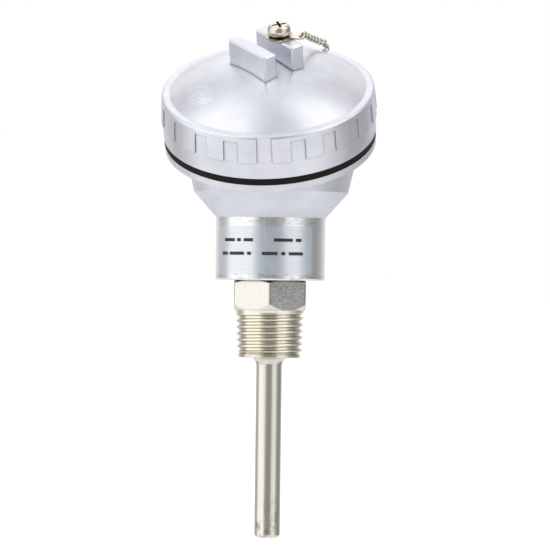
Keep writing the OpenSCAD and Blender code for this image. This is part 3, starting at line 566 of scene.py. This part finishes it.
def label_marks():
    """Two rows of plain dark bars printed on the label, in place of any lettering."""
    radius, thick, half = 17.03, 0.02, 0.48
    # Direction of the label's middle, in degrees
    middle = -2.6 - 90
    # Height of each row, with the start and span of its bars, in degrees from the middle
    rows = [
        (21.4, [(-46, 14), (-28, 4), (-20, 10), (12, 20), (36, 6)]),
        (17.3, [(-50, 8), (-38, 18), (-16, 4), (0, 16), (20, 4), (28, 16)]),
    ]
    verts, faces = [], []
    for z, bars in rows:
        for start, span in bars:
            steps = max(2, span // 2)
            base = len(verts)
            for k in range(steps + 1):
                a = math.radians(middle + start + span * k / steps)
                for r in (radius, radius + thick):
                    for h in (z - half, z + half):
                        verts.append((r * math.cos(a), r * math.sin(a), h))
            for k in range(steps):
                p, q = base + 4 * k, base + 4 * (k + 1)
                faces += [(p + 2, q + 2, q + 3, p + 3), (p + 1, q + 1, q, p), (p, q, q + 2, p + 2),
                          (p + 3, q + 3, q + 1, p + 1)]
            p, q = base, base + 4 * steps
            faces += [(p, p + 2, p + 3, p + 1), (q + 1, q + 3, q + 2, q)]
    mesh = bpy.data.meshes.new("label_marks")
    mesh.from_pydata([Vector(v) * MM for v in verts], [], faces)
    mesh.update()
    return mesh


def chain_links():
    """The chain's links, copied into a piece of their own that takes the chain's place."""
    links = piece("chain_links", nodes["chain"].data.copy(), None, PLATED, 0)
    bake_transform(links)
    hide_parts("chain")


thread = piece("nipple_thread", threaded_nipple(), "housing", THREAD)
hexagon = piece("nipple_hexagon", hexagon_block(), "housing", FLAT, 25)
piece("label_marks", label_marks(), "housing",
      plain("print_ink", 0.035, 0.07, (0.5, 0.65), gloss=0.2))
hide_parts("process_fitting")
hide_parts("process_fitting")
chain_links()


# ---------------------------------------------------------------- floor and light

# Level brightness at angles from the camera's direction, positive to its right
SOFTBOXES = [
    (-180, 0.85), (-152, 0.80), (-130, 0.45), (-108, 0.52), (-94, 1.20), (-40, 1.18), (-28, 0.55),
    (-14, 0.32), (14, 0.32), (24, 0.42), (34, 0.90), (58, 1.06), (70, 0.72), (82, 0.40), (100, 0.28),
    (118, 0.30), (138, 0.55), (160, 0.85),
]
# The same higher up, where the cap's dome looks
HIGH_BOXES = [
    (-180, 1.35), (-150, 1.05), (-124, 0.55), (-108, 0.62), (-94, 1.10), (-38, 1.10), (-24, 0.64),
    (-12, 0.46), (12, 0.46), (24, 0.66), (36, 1.65), (84, 1.70), (102, 0.55), (126, 0.50), (150, 1.00),
]
# Light that the floor adds to itself where the camera sees it
FLOOR_GLOW = 0.45
FLOOR_HALF, FLOOR_Z = 12.0, -0.095


def seen_by_camera(tree):
    """1 for what the camera sees directly, 0 for reflections."""
    return add(tree, "ShaderNodeLightPath").outputs["Is Camera Ray"]


def make_floor():
    """A floor that reads as white to the camera."""
    mesh = bpy.data.meshes.new("floor")
    size, z = FLOOR_HALF, FLOOR_Z
    mesh.from_pydata([(-size, -size, z), (size, -size, z), (size, size, z), (-size, size, z)],
                     [], [(0, 1, 2, 3)])
    floor = bpy.data.objects.new("floor", mesh)
    bpy.context.scene.collection.objects.link(floor)
    floor.visible_glossy = False
    material, tree, shader = new_material("floor_white")
    shader.inputs["Base Color"].default_value = (0.9, 0.9, 0.9, 1)
    shader.inputs["Roughness"].default_value = 0.9
    shader.inputs["Specular IOR Level"].default_value = 0.0
    shader.inputs["Emission Color"].default_value = (1, 1, 1, 1)
    glow = calc(tree, "MULTIPLY", seen_by_camera(tree), FLOOR_GLOW)
    tree.links.new(glow, shader.inputs["Emission Strength"])
    floor.data.materials.append(material)


def make_surround():
    """Softboxes left and right of the camera, with dark stands between and behind them."""
    world = bpy.data.worlds.new("studio")
    bpy.context.scene.world = world
    world.use_nodes = True
    tree = world.node_tree
    background = tree.nodes["Background"]
    x, y, z = axes(tree, add(tree, "ShaderNodeTexCoord").outputs["Generated"])
    turn = calc(tree, "ARCTAN2", x, calc(tree, "MULTIPLY", y, -1.0))
    share = calc(tree, "ADD", calc(tree, "DIVIDE", turn, 2 * math.pi), 0.5)
    level, high = (
        ramp(tree, share, *[((angle + VIEW_TURN + 180) / 360, value) for angle, value in boxes])
        for boxes in (SOFTBOXES, HIGH_BOXES)
    )
    around = blend_values(tree, rise(tree, z, 0.35, 0.6), level, high)
    around = blend_values(tree, rise(tree, z, 0.95, 1.02), around, (0.84, 0.84, 0.84, 1))
    down = calc(tree, "MULTIPLY", z, -1.0)
    around = blend_values(tree, rise(tree, down, 0.3, 0.6), around, (0.95, 0.95, 0.95, 1))
    around = blend_values(tree, seen_by_camera(tree), around, (1, 1, 1, 1))
    tree.links.new(around, background.inputs["Color"])
    background.inputs["Strength"].default_value = 1.0


def area(name, place, aim, size, energy):
    """A rectangular light that looks at a point."""
    data = bpy.data.lights.new(name, "AREA")
    data.shape = "RECTANGLE"
    data.size, data.size_y = size
    data.energy = energy
    obj = bpy.data.objects.new(name, data)
    obj.location = place
    way = Vector(aim) - Vector(place)
    obj.rotation_euler = way.to_track_quat("-Z", "Y").to_euler()
    bpy.context.scene.collection.objects.link(obj)


make_floor()
make_surround()
area("key", (-0.5, -0.55, 0.9), (0, 0, 0.05), (0.9, 0.9), 1.0)

bpy.context.scene.view_settings.view_transform = "Standard"
